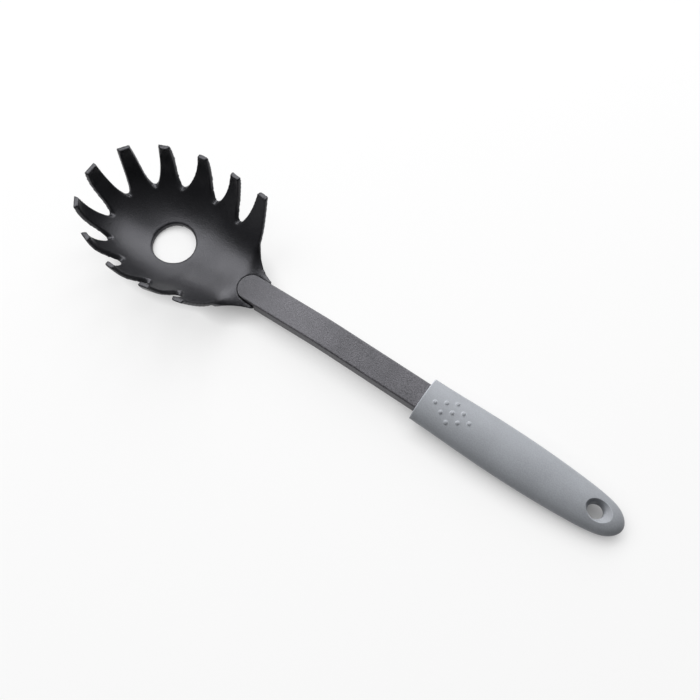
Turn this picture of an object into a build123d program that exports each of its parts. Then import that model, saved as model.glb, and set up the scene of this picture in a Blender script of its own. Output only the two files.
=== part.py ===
from build123d import *
import os
from math import atan2, cos, degrees, radians, sin, sqrt, tan

os.makedirs("parts", exist_ok=True)

# A spaghetti server: an eleven-tined bowl, a bent flat shank and a soft grip over a stiff core.
# It is drawn with the shank's straight top on the plane Z = 0, the grip's front at X = 0, the tail
# towards +X and the bowl towards -X, and is laid down on its bowl and grip at the end.

# Bowl, an egg shape turned about its own long axis; sizes are of the inner surface
bowl_half_length = 56.6
bowl_radius = 37.4
bowl_power = 2.2
bowl_reach = 149.0
bowl_axis_height = 24.8
bowl_tilt = 10.75
bowl_back = 30.0
bowl_back_side = 36.6
bowl_back_depth = 36.5
rear_shares = (0.333, 0.667, 1.0)
round_share = 0.5523
hip_side_share = 0.72
hip_depth_share = 0.507
floor_share = 0.6
wall = 2.5

# Tines, cut off along an arc seen from the side and left between ten slots. Each slot is a
# parabola seen along its own direction, and its foot is where that line starts on the bowl's axis.
tip_nose_level = 1.6
tip_middle_level = -4.5
tip_back_level = -6.4
tip_middle_share = -0.23
slot_height = 21.6
slot_drop = 26.4
slot_rake = 3.8
slot_half_gap = 9.0
slot_gap_shares = (0.87, 1.01, 1.04, 0.92, 0.79)
slot_foot_shares = (0.068, -0.134, -0.429, -0.38, -0.362)
slot_drop_shares = (1.0, 1.0, 1.0, 1.025, 1.045)
slot_angles = (70.0, 84.0, 91.0, 131.5, 164.6)
slot_mean_reach = 46.0

# Drain hole, one helping of dry spaghetti
drain_diameter = 23.4
drain_reach = 156.4

# Neck, the thick root under the bowl's back that the shank's tongue is let into
neck_reach = 98.8
neck_half_width = 9.5
neck_rim_drop = 39.6
root_start = 4.0
neck_end = 46.0
swell_width_shares = (1.0, 1.42, 1.83, 2.22)
swell_rim_shares = (0.965, 0.90, 0.81, 0.72)
swell_bottom_shares = (1.0, 1.038, 1.065, 1.091)
neck_width_shares = (2.22, 1.6, 1.28, 1.07, 0.94)
neck_rim_shares = (0.72, 0.86, 0.91, 0.94, 0.96)
neck_bottom_shares = (1.091, 1.103, 1.115, 1.127, 1.139)
throat_side_shares = (1.0, 1.09, 1.37, 1.8, 2.45)
throat_depth_shares = (1.0, 1.014, 1.047, 1.076, 1.1)
throat_hip_side_shares = (0.72, 0.9, 1.0, 1.0, 1.0)
throat_hip_depth_shares = (0.507, 0.86, 1.0, 1.0, 1.0)
throat_floor_shares = (0.6, 0.75, 0.8, 0.8, 0.8)

# Shank, a flat bar with a slight bend, a thin round tongue in front and a tang behind
shank_width = 14.8
shank_thickness = 7.2
shank_slope = 5.5
bend_reach = 60.4
bend_radius = 120.0
tongue_length = 13.4
tongue_thickness = 3.4
shank_edge = 0.9
seat_length = 10.0
tang_width = 10.4
tang_thickness = 4.6
tang_length = 66.0
tang_hole_diameter = 4.2
tang_hole_shares = (0.28, 0.72)

# Grip, turned and then flattened, over a core of the same form
grip_length = 113.8
grip_half_width = 12.85
grip_half_thickness = 6.7
grip_place_shares = (0.0, 0.264, 0.545, 0.769, 0.895, 0.962, 1.0)
grip_width_shares = (0.942, 0.992, 0.988, 0.883, 0.747, 0.529, 0.0)
grip_centre_drop = 4.3
grip_droop = 0.66
grip_front = -0.8
grip_front_slant = 7.0
skin = 2.2

# Hang hole, a round eye with an oval dished mouth on each face
eye_place = 98.4
eye_diameter = 8.4
eye_land = 4.0
mouth_half_length = 6.9
mouth_half_width = 5.4
mouth_shift = 1.6
mouth_shares = (0.0, 0.25, 0.6, 1.0, 1.7)
core_eye_wall = 1.8

# Raised dots, three by three in a rhombus
dot_count = 3
dot_pitch = 5.64
dot_start = 6.74
dot_radius = 1.5
dot_height = 0.55

# One overrun for every cut
overrun = 30.0


def bowl_radius_at(place, half_length, radius):
    share = (abs(place) / half_length) ** bowl_power
    return radius * (1 - share) ** (1 / bowl_power)


def half_oval(place, half_width, depth, level=0.0):
    # The lower half of an oval, standing across the bowl's axis, flat side up
    plane = Plane(origin=(place, 0, level), x_dir=(0, 1, 0), z_dir=(1, 0, 0))
    arc = EllipticalCenterArc((0, 0), half_width, depth, start_angle=180, arc_size=180)
    return plane * make_face(arc + Line(arc @ 1, arc @ 0))


def bowl_front(offset):
    # The turned front half, with its nose closed
    half_length = bowl_half_length + offset
    radius = bowl_radius + offset
    nose_shares = (0.0, 0.25, 0.5, 0.72, 0.88, 0.97)
    points = [(-half_length * s, bowl_radius_at(half_length * s, half_length, radius)) for s in nose_shares]
    points.append((-half_length, 0))
    side = Spline(*points, tangents=[(-1, 0), (0, -1)])
    outline = make_face([side, Line(side @ 1, (0, 0)), Line((0, 0), side @ 0)])
    return revolve(outline, Axis.X)


def spread(start, end, count):
    # Evenly spaced places along the bowl's axis
    return [start + (end - start) * k / (count - 1) for k in range(count)]


def stretch_of(places, width_shares, rim_shares, bottom_shares):
    # One stretch of the root: its sections hang from its rim
    sections = []
    for place, width, rim, bottom in zip(places, width_shares, rim_shares, bottom_shares):
        sections.append(half_oval(
            place, neck_half_width * width, neck_rim_drop * (bottom - rim), -neck_rim_drop * rim))
    return loft(sections)


def standing(place, halves):
    # A face across the bowl's axis, between two half curves that run from the rim to the floor
    plane = Plane(origin=(place, 0, 0), x_dir=(0, 1, 0), z_dir=(1, 0, 0))
    return plane * make_face([*halves, Line(halves[0] @ 0, halves[1] @ 0)])


def section(place, side, depth, hip_side, hip_depth, floor):
    # A section of the bowl: each half is one curve from the rim over the hip to the floor
    halves = []
    for hand in (-1, 1):
        halves.append(Bezier(
            (hand * side, 0), (hand * side * hip_side, -depth * hip_depth),
            (hand * side * floor, -depth), (0, -depth)))
    return standing(place, halves)


def blend(start, end, share):
    return start + (end - start) * share


def bowl_rear(offset):
    # The back half, from round at the middle to leaning sides at the back
    radius = bowl_radius + offset
    sections = [standing(0, [CenterArc((0, 0), radius, 180, 90), CenterArc((0, 0), radius, 0, -90)])]
    for share in rear_shares:
        sections.append(section(
            bowl_back * share, blend(bowl_radius, bowl_back_side, share) + offset,
            blend(bowl_radius, bowl_back_depth, share) + offset, blend(1, hip_side_share, share),
            blend(round_share, hip_depth_share, share), blend(round_share, floor_share, share)))
    return loft(sections)


# The head in the bowl's own frame, its axis along X
outer = bowl_front(wall) + bowl_rear(wall)
inner = bowl_front(0) + bowl_rear(0)
throat = []
for place, side, depth, hip_side, hip_depth, floor in zip(
        spread(bowl_back, neck_end, len(throat_side_shares)), throat_side_shares, throat_depth_shares,
        throat_hip_side_shares, throat_hip_depth_shares, throat_floor_shares):
    throat.append(section(
        place, bowl_back_side * side, bowl_back_depth * depth, hip_side, hip_depth, floor))
swell = stretch_of(
    spread(root_start, bowl_back, len(swell_width_shares)),
    swell_width_shares, swell_rim_shares, swell_bottom_shares)
neck = stretch_of(
    spread(bowl_back, neck_end, len(neck_width_shares)),
    neck_width_shares, neck_rim_shares, neck_bottom_shares)
bowl = outer + swell + neck - inner - loft(throat)

# Everything above the arc of the tips goes
nose = bowl_half_length + overrun
tip_arc = ThreePointArc(
    (-bowl_half_length - wall, tip_nose_level), (bowl_half_length * tip_middle_share, tip_middle_level),
    (bowl_back, tip_back_level))
above_tips = Polyline(
    tip_arc @ 1, (nose, tip_back_level), (nose, nose), (-nose, nose), (-nose, tip_nose_level), tip_arc @ 0)
bowl -= extrude(Plane.XZ * make_face([tip_arc, above_tips]), bowl_radius * 2, both=True)

# Ten slots, each a parabolic prism run outwards from the bowl's axis
for foot, angle, gap, deeper in zip(slot_foot_shares, slot_angles, slot_gap_shares, slot_drop_shares):
    for hand in (1, -1):
        turn = hand * radians(angle)
        place = bowl_half_length * foot
        level = -slot_drop * deeper - tan(radians(slot_rake)) * (place + slot_mean_reach * cos(turn))
        plane = Plane((place, 0, level), x_dir=(-sin(turn), cos(turn), 0), z_dir=(cos(turn), sin(turn), 0))
        height = slot_height + overrun
        width = slot_half_gap * gap * sqrt(height / slot_height)
        curve = Bezier((-width, height), (0, -height), (width, height))
        prism = extrude(plane * make_face([curve, Line(curve @ 1, curve @ 0)]), bowl_radius * 2)
        bowl -= prism

head = Location((-bowl_reach, 0, bowl_axis_height), (0, -bowl_tilt, 0)) * bowl

# The drain hole goes straight down through the floor of the bowl
head -= Location((-drain_reach, 0, 0)) * Cylinder(drain_diameter / 2, overrun * 2)

# Shank: side profile, then its tongue and tang in plan
slope = radians(shank_slope)


def on_slope(reach, depth):
    # A point of the sloped stretch, given how far it lies before the grip and how far under the top
    run = (reach - bend_reach) / cos(slope)
    return (-bend_reach - run * cos(slope) + depth * sin(slope), -run * sin(slope) - depth * cos(slope))


tongue_reach = neck_reach + tongue_length
profile = Polyline(
    (seat_length, 0), (-bend_reach, 0), on_slope(tongue_reach, 0), on_slope(tongue_reach, tongue_thickness),
    on_slope(neck_reach, tongue_thickness), on_slope(neck_reach, shank_thickness),
    on_slope(bend_reach, shank_thickness), (seat_length, -shank_thickness), close=True)
side = make_face(profile)
bend_top = side.vertices().sort_by_distance((-bend_reach, 0))[0]
side = fillet(bend_top, bend_radius + shank_thickness)
bend_base = side.vertices().sort_by_distance((-bend_reach, -shank_thickness))[0]
side = fillet(bend_base, bend_radius)
bar = extrude(Plane.XZ * side, shank_width / 2, both=True)
long_edges = [e for e in bar.edges() if abs(e.tangent_at(0.5).X) > 0.9 and e.length > tongue_length / 2]
bar = fillet(long_edges, shank_edge)
tongue_centre = tongue_reach - shank_width / 2
plan = Location((-tongue_centre, 0)) * Circle(shank_width / 2)
plan += Location((-tongue_centre, 0)) * Rectangle(
    tongue_centre + seat_length, shank_width, align=(Align.MIN, Align.CENTER))
shank = bar & extrude(plan, overrun, both=True)

# Tang: narrower and thinner, with two holes that the core runs through
tang_level = -(shank_thickness / 2)
tang = Location((seat_length, 0, tang_level)) * Box(
    tang_length, tang_width, tang_thickness, align=(Align.MIN, Align.CENTER, Align.CENTER))
for share in tang_hole_shares:
    tang -= Location((seat_length + tang_length * share, 0, tang_level)) * Cylinder(
        tang_hole_diameter / 2, tang_thickness * 2)
shank += tang


def grip_form(inset, front):
    # The grip's turned and flattened form, drawn in by a skin and cut off in front
    half_width = grip_half_width - inset
    half_thickness = grip_half_thickness - inset
    length = grip_length - inset
    points = [(length * p, half_width * w) for p, w in zip(grip_place_shares, grip_width_shares)]
    outline = Spline(*points, tangents=[(1, 0), (0, -1)])
    face = make_face([outline, Line(outline @ 1, (0, 0)), Line((0, 0), outline @ 0)])
    form = scale(revolve(face, Axis.X), by=(1, 1, half_thickness / half_width))
    slant = Location((front, 0, 0), (0, grip_front_slant, 0))
    form -= slant * Box(overrun, overrun * 2, overrun * 2, align=(Align.MAX, Align.CENTER, Align.CENTER))
    return Location((0, 0, -grip_centre_drop), (0, grip_droop, 0)) * form


def surface_point(form, x, y):
    # Where a plumb line meets the top of a form
    hits = form.find_intersection_points(Axis((x, y, overrun), (0, 0, -1)))
    return max(hits, key=lambda hit: hit[0].Z)


grip_outer = grip_form(0, grip_front)
core = grip_form(skin, seat_length)

# Hang eye: a round land at mid thickness that opens into an oval mouth on each face
eye_level = -grip_centre_drop - eye_place * tan(radians(grip_droop))
mouth_level = surface_point(grip_outer, eye_place, mouth_half_width)[0].Z - eye_level
eye = Cylinder(eye_diameter / 2, eye_land * 2)
ovals = []
for share in mouth_shares:
    flare = share * share
    height = eye_land / 2 + (mouth_level - eye_land / 2) * share
    ovals.append(Location((mouth_shift * flare, 0, height)) * Ellipse(
        eye_diameter / 2 + (mouth_half_length - eye_diameter / 2) * flare,
        eye_diameter / 2 + (mouth_half_width - eye_diameter / 2) * flare))
mouth = loft(ovals)
eye += mouth + mirror(mouth, Plane.XY)
eye_seat = Location((eye_place, 0, eye_level), (0, grip_droop, 0))
eye = eye_seat * eye
core -= eye_seat * Cylinder(eye_diameter / 2 + core_eye_wall, overrun * 2)
core -= shank

# Grip: the soft skin round the core, with its dots
dots = []
for row in range(dot_count):
    for column in range(dot_count):
        x = dot_start + (row + column) * dot_pitch * sqrt(3) / 2
        y = (column - row) * dot_pitch / 2
        point, normal = surface_point(grip_outer, x, y)
        dots.append(Location(point - normal * (dot_radius - dot_height)) * Sphere(dot_radius))
grip = grip_outer + dots
grip = grip - core - shank - eye

# The neck stops square to the sloped stretch, and the shank lies in it
stop_x, stop_z = on_slope(neck_reach, 0)
neck_stop = Location((stop_x, 0, stop_z), (0, -shank_slope, 0)) * Box(
    overrun, overrun, overrun, align=(Align.MIN, Align.CENTER, Align.CENTER))
head = head - neck_stop - shank

# Laid down: the bowl and the grip touch one plane, and the middle of the outline is the origin
pieces = {"head": head, "shank": shank, "core": core, "grip": grip}
bowl_box = head.bounding_box()
grip_box = grip.bounding_box()
rest = degrees(atan2(grip_box.min.Z - bowl_box.min.Z, bowl_reach + grip_length / 2))
for name, piece in pieces.items():
    pieces[name] = Location((0, 0, 0), (0, rest, 0)) * piece
boxes = [piece.bounding_box() for piece in pieces.values()]
front_end = min(box.min.X for box in boxes)
back_end = max(box.max.X for box in boxes)
floor = min(box.min.Z for box in boxes)
middle = Location((-(front_end + back_end) / 2, 0, -floor))
for name, piece in pieces.items():
    export_step(middle * piece, f"parts/{name}.step")
print("rest angle", round(rest, 3), "middle", middle.position)
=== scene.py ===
from math import cos, pi, radians, sin, sqrt, tan

import bpy
from mathutils import Matrix, Vector


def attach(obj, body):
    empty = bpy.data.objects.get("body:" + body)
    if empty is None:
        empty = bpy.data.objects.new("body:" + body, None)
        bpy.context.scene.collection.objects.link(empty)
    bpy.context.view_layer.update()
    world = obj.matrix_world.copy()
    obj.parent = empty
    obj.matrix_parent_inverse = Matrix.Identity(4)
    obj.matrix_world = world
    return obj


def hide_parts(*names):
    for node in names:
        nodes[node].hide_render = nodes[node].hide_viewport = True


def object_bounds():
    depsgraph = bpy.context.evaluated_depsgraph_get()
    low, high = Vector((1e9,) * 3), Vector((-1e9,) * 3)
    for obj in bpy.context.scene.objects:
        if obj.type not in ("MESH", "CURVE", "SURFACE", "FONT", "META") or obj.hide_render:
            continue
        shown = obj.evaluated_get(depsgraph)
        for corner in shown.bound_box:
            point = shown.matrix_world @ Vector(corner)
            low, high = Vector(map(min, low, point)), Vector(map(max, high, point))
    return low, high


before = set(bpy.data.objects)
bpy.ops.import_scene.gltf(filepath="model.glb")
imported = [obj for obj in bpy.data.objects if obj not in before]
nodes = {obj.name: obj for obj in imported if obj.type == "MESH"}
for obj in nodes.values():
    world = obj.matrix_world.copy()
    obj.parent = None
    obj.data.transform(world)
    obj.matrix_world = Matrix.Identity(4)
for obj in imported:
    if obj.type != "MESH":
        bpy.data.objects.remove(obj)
cad_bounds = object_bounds()
length = cad_bounds[1][0] - cad_bounds[0][0]

# Finishes: linear colour, its spread, grain size and depth, mottle size, roughness range, how
# far and how much an edge is made paler, partly as wear and partly as a painted highlight on the
# rims; the shank's fade is painted shade, the share of its colour at two places along x, and the
# grip has a weak sheen
finishes = {
    "head": dict(
        color=(0.0075, 0.0077, 0.0092), spread=0.15, grain=0.00065, depth=0.00008, mottle=0.012,
        rough=(0.33, 0.41), specular=0.62, edge=0.0006, wear_and_highlight=5.0),
    "shank": dict(
        color=(0.060, 0.058, 0.064), spread=0.55, grain=0.00065, depth=0.00012, mottle=0.010,
        rough=(0.46, 0.58), specular=0.85, edge=0.0005, wear_and_highlight=0.4,
        # the fade is painted shade: the shank's colour darkens along x towards its tongue
        fade=(0.0, 1.0, -0.068, -0.038)),
    "core": dict(
        color=(0.10, 0.105, 0.11), spread=0.10, grain=0.0009, depth=0.00004, mottle=0.010,
        rough=(0.45, 0.55), specular=0.5, edge=0.0005, wear_and_highlight=0.1),
    "grip": dict(
        color=(0.303, 0.318, 0.342), spread=0.07, grain=0.00060, depth=0.00006, mottle=0.015,
        rough=(0.50, 0.60), specular=0.5, edge=0.0008, wear_and_highlight=1.2, sheen=0.25),
}

# What all finishes share
grain_detail = 2
mottle_detail = 4
least_wear_and_highlight_share = 0.4
roughness_drift = 0.03
bevel_samples = 6
edge_dots = (0.88, 0.995)
cool_tint = (0.93, 0.93, 1.0, 1)
sheen_roughness = 0.35

# Head: fine mesh, its rounding, and where the bowl and its ten slots lie
voxel = 0.00049
rounding = 6
smoothing_factor = 0.5
rest_angle = 1.255
handle_middle = (0.0466604, 0, 0.0131583)
bowl_reach = 0.149
bowl_axis_height = 0.0248
bowl_tilt = 10.75
bowl_half_length = 0.0566
slot_height = 0.0216
slot_drop = 0.0264
slot_rake = 3.8
slot_half_gap = 0.009
slot_mean_reach = 0.046
slot_angles = (70.0, 84.0, 91.0, 131.5, 164.6)
slot_foot_shares = (0.068, -0.134, -0.429, -0.38, -0.362)
slot_gap_shares = (0.87, 1.01, 1.04, 0.92, 0.79)
slot_drop_shares = (1.0, 1.0, 1.0, 1.025, 1.045)

# How far each slot closes in towards its top, on its nose side and on its back side
nose_side_shares = (0.20, 0.17, 0.24, 0.22, 0.16)
back_side_shares = (0.12, 0.13, 0.18, 0.08, 0.04)
widening_start_share = 0.25
widening_limit = 1.3
widening_depth = 0.0045

# Throat: where it meets the neck, how far it is blended, and the tongue that it keeps clear of
blend_place = -0.0655
blend_reach = 0.013
blend_passes = 266
blend_half_width = (0.015, 0.019)
blend_upward = (0.2, 0.4)
tongue_centre = -0.0581
tongue_radius = 0.0074
tongue_clearance = (0.0008, 0.0028)

# Drain hole, drawn in a little towards its underside
drain_place = -0.1097
drain_radius = 0.0117
drain_taper = 0.0010
drain_depth = 0.0032
drain_fade_radius = drain_radius * 1.5

# Floor: its colour, how far it is lifted to white for the eye, and how near a piece that lift
# gives way to a painted contact shade
floor_white = (0.80, 0.80, 0.80, 1)
floor_roughness = 0.9
floor_lengths = 10
floor_lift = 0.76
contact_shade_reach = 0.012
contact_shade_samples = 8

# Camera, as solved from the photograph
camera_place = (0.12411, -0.17274, 0.52957)
camera_turn = (22.175, 0.160, 34.645)
lens_mm = 57.6
sensor_mm = 36.0

# Light: two broad boxes towards the bowl's nose and the far side, in a room that dims away
# from them; azimuth and elevation in degrees, distance and side in metres
boxes = {
    "window": dict(azimuth=112, elevation=38, distance=1.25, side=1.15, radiance=4.1),
    "overhead": dict(azimuth=178, elevation=50, distance=1.25, side=0.9, radiance=3.8),
}
room_azimuth = 125
room_elevation = 40
room_radiance = (0.02, 0.22)


def link(tree, start, end):
    tree.links.new(start, end)


def noise(tree, size, detail):
    coords = tree.nodes.new("ShaderNodeTexCoord")
    texture = tree.nodes.new("ShaderNodeTexNoise")
    texture.inputs["Scale"].default_value = 1 / size
    texture.inputs["Detail"].default_value = detail
    link(tree, coords.outputs["Object"], texture.inputs["Vector"])
    return texture.outputs["Fac"]


def spanned(tree, source, low, high, start=0.35, end=0.65):
    # A number that runs from low to high while its source runs from start to end
    span = tree.nodes.new("ShaderNodeMapRange")
    span.inputs["From Min"].default_value = start
    span.inputs["From Max"].default_value = end
    span.inputs["To Min"].default_value = low
    span.inputs["To Max"].default_value = high
    link(tree, source, span.inputs["Value"])
    return span.outputs["Result"]


def math(tree, kind, first, second):
    node = tree.nodes.new("ShaderNodeMath")
    node.operation = kind
    for socket, value in zip(node.inputs, (first, second)):
        if hasattr(value, "is_linked"):
            link(tree, value, socket)
        else:
            socket.default_value = value
    return node.outputs["Value"]


def edges(tree, radius):
    # Rounded normals, and a mask that is 1 where an edge turns within the radius
    rounded = tree.nodes.new("ShaderNodeBevel")
    rounded.samples = bevel_samples
    rounded.inputs["Radius"].default_value = radius
    flat = tree.nodes.new("ShaderNodeNewGeometry")
    dot = tree.nodes.new("ShaderNodeVectorMath")
    dot.operation = "DOT_PRODUCT"
    link(tree, rounded.outputs["Normal"], dot.inputs[0])
    link(tree, flat.outputs["Normal"], dot.inputs[1])
    return rounded.outputs["Normal"], spanned(tree, dot.outputs["Value"], 1, 0, *edge_dots)


def plastic(name, color, spread, grain, depth, mottle, rough, specular, edge, wear_and_highlight, fade=None,
            sheen=0):
    mat = bpy.data.materials.new(name)
    mat.use_nodes = True
    tree = mat.node_tree
    shader = tree.nodes["Principled BSDF"]
    shader.inputs["Specular IOR Level"].default_value = specular
    shader.inputs["Specular Tint"].default_value = cool_tint
    shader.inputs["Sheen Weight"].default_value = sheen
    shader.inputs["Sheen Roughness"].default_value = sheen_roughness
    fine = noise(tree, grain, grain_detail)
    cloud = noise(tree, mottle, mottle_detail)
    normal, mask = edges(tree, edge)
    shade = math(tree, "MULTIPLY", spanned(tree, fine, 1 - spread, 1 + spread), spanned(
        tree, cloud, 1 - spread / 2, 1 + spread / 2))
    # Edges made paler: partly wear, partly a painted highlight along the rounded rims
    edge_wear_and_highlight = math(tree, "MULTIPLY", mask, spanned(tree, cloud, wear_and_highlight * least_wear_and_highlight_share, wear_and_highlight))
    shade = math(tree, "ADD", shade, edge_wear_and_highlight)
    # The fade is painted shade: the colour falls off along x, on the shank towards its tongue
    if fade:
        coords = tree.nodes.new("ShaderNodeTexCoord")
        along = tree.nodes.new("ShaderNodeSeparateXYZ")
        link(tree, coords.outputs["Object"], along.inputs["Vector"])
        shade = math(tree, "MULTIPLY", shade, spanned(tree, along.outputs["X"], *fade))
    tint = tree.nodes.new("ShaderNodeMix")
    tint.data_type = "RGBA"
    tint.blend_type = "MULTIPLY"
    tint.inputs["Factor"].default_value = 1
    tint.inputs["A"].default_value = (*color, 1)
    link(tree, shade, tint.inputs["B"])
    link(tree, tint.outputs["Result"], shader.inputs["Base Color"])
    link(tree, math(tree, "ADD", spanned(tree, fine, *rough), spanned(
        tree, cloud, -roughness_drift, roughness_drift)), shader.inputs["Roughness"])
    bump = tree.nodes.new("ShaderNodeBump")
    bump.inputs["Distance"].default_value = depth
    link(tree, fine, bump.inputs["Height"])
    link(tree, normal, bump.inputs["Normal"])
    link(tree, bump.outputs["Normal"], shader.inputs["Normal"])
    return mat


def applied(piece):
    # The piece's mesh with its modifiers applied
    built = piece.evaluated_get(bpy.context.evaluated_depsgraph_get())
    mesh = bpy.data.meshes.new_from_object(built)
    piece.modifiers.clear()
    piece.data = mesh


def slots():
    # Each slot's foot, directions across and outwards, half gap at its top, and widening shares
    laid = Matrix.Translation(handle_middle) @ Matrix.Rotation(radians(rest_angle), 4, "Y")
    bowl = laid @ Matrix.Translation((-bowl_reach, 0, bowl_axis_height)) @ Matrix.Rotation(
        radians(-bowl_tilt), 4, "Y")
    for angle, foot, gap, deeper, nose_side, back_side in zip(
            slot_angles, slot_foot_shares, slot_gap_shares, slot_drop_shares, nose_side_shares,
            back_side_shares):
        for hand in (1, -1):
            turn = hand * radians(angle)
            place = bowl_half_length * foot
            rise = tan(radians(slot_rake)) * (place + slot_mean_reach * cos(turn))
            foot_place = bowl @ Matrix.Translation((place, 0, -slot_drop * deeper - rise))
            across = Vector((-sin(turn), cos(turn), 0)) * hand
            outwards = Vector((cos(turn), sin(turn), 0))
            turned = Matrix((across, outwards, Vector((0, 0, 1)))).transposed().to_4x4()
            yield foot_place @ turned, slot_half_gap * gap, nose_side, back_side


def widened(mesh):
    # The tines, spread into the slots' upper parts
    places = [(frame_of, frame_of.inverted(), half_gap, nose_side, back_side)
              for frame_of, half_gap, nose_side, back_side in slots()]
    for vertex in mesh.vertices:
        shift = Vector((0, 0, 0))
        for frame_of, inverse, half_gap, nose_side, back_side in places:
            across, out, height = inverse @ vertex.co
            share = height / slot_height
            if out < 0 or share < widening_start_share:
                continue
            wall = half_gap * sqrt(share)
            depth = abs(across) - wall
            if depth > widening_depth:
                continue
            side = nose_side if across > 0 else back_side
            rise = (share - widening_start_share) / (1 - widening_start_share)
            rise = min(rise, widening_limit)
            if across < 0:
                rise *= rise
            fade = 1 - max(depth, 0) / widening_depth
            move = -half_gap * side * rise * fade * (1 if across > 0 else -1)
            shift += frame_of.to_3x3() @ Vector((move, 0, 0))
        vertex.co += shift


def ramp(value, start, end):
    # 0 up to start, 1 from end on, smooth between
    share = min(max((value - start) / (end - start), 0), 1)
    return share * share * (3 - 2 * share)


def tapered(mesh):
    # The drain hole's lower rim, drawn in
    for vertex in mesh.vertices:
        x, y, z = vertex.co
        reach = sqrt((x - drain_place) ** 2 + y * y)
        if reach < drain_fade_radius:
            inward = drain_taper * ramp(drain_depth - z, 0, drain_depth) * (
                1 - ramp(reach, drain_radius, drain_fade_radius))
            vertex.co.x -= (x - drain_place) / reach * inward
            vertex.co.y -= y / reach * inward


def blended(piece):
    # The ridge between throat and neck, smoothed clear of the tongue and the rims
    group = piece.vertex_groups.new(name="throat")
    for vertex in piece.data.vertices:
        x, y, z = vertex.co
        if abs(x - blend_place) > blend_reach or vertex.normal.z < 0:
            continue
        beside = sqrt(min(x - tongue_centre, 0) ** 2 + y * y) - tongue_radius
        weight = ramp(blend_reach - abs(x - blend_place), 0, blend_reach / 2)
        weight *= ramp(beside, *tongue_clearance) * (1 - ramp(abs(y), *blend_half_width))
        weight *= ramp(vertex.normal.z, *blend_upward)
        if weight > 0:
            group.add([vertex.index], weight, "REPLACE")
    soft = piece.modifiers.new("throat", "SMOOTH")
    soft.factor = smoothing_factor
    soft.iterations = blend_passes
    soft.vertex_group = group.name
    applied(piece)


def head_form(piece):
    widened(piece.data)
    tapered(piece.data)
    blended(piece)


def refined(node, name, reshape=None):
    # A node's form, remeshed finely, reshaped and rounded along its edges
    piece = bpy.data.objects.new(name, nodes[node].data.copy())
    bpy.context.scene.collection.objects.link(piece)
    grid = piece.modifiers.new("grid", "REMESH")
    grid.mode = "VOXEL"
    grid.voxel_size = voxel
    grid.use_smooth_shade = True
    applied(piece)
    if reshape:
        reshape(piece)
    soft = piece.modifiers.new("soft", "SMOOTH")
    soft.factor = smoothing_factor
    soft.iterations = rounding
    applied(piece)
    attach(piece, "root")
    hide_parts(node)
    return piece


def paint(piece, mat):
    piece.data.materials.clear()
    piece.data.materials.append(mat)


looks = {name: plastic(name + "_finish", **look) for name, look in finishes.items()}
for name in ("shank", "core", "grip"):
    paint(nodes[name], looks[name])
head = refined("head", "tined_bowl", head_form)
paint(head, looks["head"])

# Floor, white to the eye, with a softened shadow and a painted contact shade where a piece comes
# near
floor_mesh = bpy.data.meshes.new("floor")
reach = length * floor_lengths
corners = [(-reach, -reach, 0), (reach, -reach, 0), (reach, reach, 0), (-reach, reach, 0)]
floor_mesh.from_pydata(corners, [], [(0, 1, 2, 3)])
floor = bpy.data.objects.new("floor", floor_mesh)
bpy.context.scene.collection.objects.link(floor)
floor_mat = bpy.data.materials.new("floor_paint")
floor_mat.use_nodes = True
tree = floor_mat.node_tree
matt = tree.nodes["Principled BSDF"]
matt.inputs["Base Color"].default_value = floor_white
matt.inputs["Roughness"].default_value = floor_roughness
white = tree.nodes.new("ShaderNodeEmission")
path = tree.nodes.new("ShaderNodeLightPath")
seen = math(tree, "MAXIMUM", path.outputs["Is Camera Ray"], math(
    tree, "MAXIMUM", path.outputs["Is Glossy Ray"], path.outputs["Is Transmission Ray"]))
# Painted contact shade: the white lift is held back where a piece closes the floor in
painted_contact_shade = tree.nodes.new("ShaderNodeAmbientOcclusion")
painted_contact_shade.samples = contact_shade_samples
painted_contact_shade.inputs["Distance"].default_value = contact_shade_reach
lift = math(tree, "MULTIPLY", math(
    tree, "MULTIPLY", seen, floor_lift), painted_contact_shade.outputs["AO"])
both = tree.nodes.new("ShaderNodeMixShader")
link(tree, lift, both.inputs["Fac"])
link(tree, matt.outputs["BSDF"], both.inputs[1])
link(tree, white.outputs["Emission"], both.inputs[2])
link(tree, both.outputs["Shader"], tree.nodes["Material Output"].inputs["Surface"])
paint(floor, floor_mat)


def heading(azimuth, elevation):
    a, e = radians(azimuth), radians(elevation)
    return Vector((cos(a) * cos(e), sin(a) * cos(e), sin(e)))


def softbox(name, azimuth, elevation, distance, side, radiance):
    light = bpy.data.lights.new(name, "AREA")
    light.size = side
    light.energy = radiance * pi * side * side
    lamp = bpy.data.objects.new(name, light)
    lamp.location = heading(azimuth, elevation) * distance
    lamp.rotation_euler = lamp.location.to_track_quat("Z", "Y").to_euler()
    bpy.context.scene.collection.objects.link(lamp)


for name, box in boxes.items():
    softbox(name, **box)

world = bpy.data.worlds.new("room")
bpy.context.scene.world = world
world.use_nodes = True
tree = world.node_tree
sky = tree.nodes["Background"]
way = tree.nodes.new("ShaderNodeTexCoord")
facing = tree.nodes.new("ShaderNodeVectorMath")
facing.operation = "DOT_PRODUCT"
facing.inputs[1].default_value = heading(room_azimuth, room_elevation)
link(tree, way.outputs["Generated"], facing.inputs[0])
link(tree, spanned(tree, facing.outputs["Value"], *room_radiance, -1, 1), sky.inputs["Strength"])
sky.inputs["Color"].default_value = (1, 1, 1, 1)

camera_data = bpy.data.cameras.new("camera")
camera_data.lens = lens_mm
camera_data.sensor_width = sensor_mm
camera = bpy.data.objects.new("camera", camera_data)
camera.location = camera_place
camera.rotation_euler = [radians(a) for a in camera_turn]
bpy.context.scene.collection.objects.link(camera)
bpy.context.scene.camera = camera

bpy.context.scene.view_settings.view_transform = "Standard"
